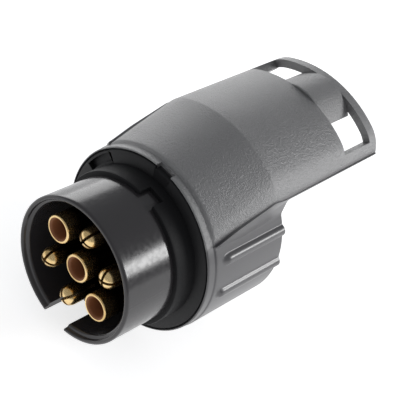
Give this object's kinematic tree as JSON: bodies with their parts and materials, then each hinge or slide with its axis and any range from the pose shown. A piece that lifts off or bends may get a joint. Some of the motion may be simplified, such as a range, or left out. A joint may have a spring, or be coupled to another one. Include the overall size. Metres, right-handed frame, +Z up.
{
  "type": "trailer wiring connector",
  "caption": "Short trailer wiring adapter: round plug with brass contacts in front, conical body, ribbed grip and a rear hood over a round socket.",
  "frame": {"origin": "centre of the plug's mouth, on the connector's axis", "axes": "+Y along the axis from the plug's mouth to the hood's rear edge, +Z up through the crown of the hood, +X to the right as one looks into the plug"},
  "size_m": [0.0538, 0.09, 0.0604],
  "materials": {
    "gloss_black": "glossy moulded",
    "matt_black": "satin moulded",
    "seal_rubber": "matt rubber",
    "housing_grey": "spark-textured moulded",
    "contact_brass": "machined",
    "board": "solder mask",
    "screw_steel": "zinc plated"
  },
  "bodies": {
    "root": {"plug_shell": "gloss_black", "collar_seal": "seal_rubber", "front_flange_ring": "matt_black", "front_gasket": "seal_rubber", "front_contact_carrier": "matt_black", "link_board": "board", "socket_base_plate": "matt_black", "socket_boss": "matt_black", "rear_gasket": "seal_rubber", "socket_seal_ring": "seal_rubber", "insert_screws": "screw_steel", "main_housing": "housing_grey", "plug_pin_1": "contact_brass", "plug_pin_2": "contact_brass", "plug_pin_3": "contact_brass", "plug_pin_4": "contact_brass", "plug_sleeve_1": "contact_brass", "plug_sleeve_2": "contact_brass", "plug_sleeve_3": "contact_brass", "socket_contact_01": "contact_brass", "socket_contact_02": "contact_brass", "socket_contact_03": "contact_brass", "socket_contact_04": "contact_brass", "socket_contact_05": "contact_brass", "socket_contact_06": "contact_brass", "socket_contact_07": "contact_brass", "socket_contact_08": "contact_brass", "socket_contact_09": "contact_brass", "socket_contact_10": "contact_brass", "socket_contact_11": "contact_brass", "socket_contact_12": "contact_brass", "socket_contact_13": "contact_brass"}
  },
  "joints": []
}
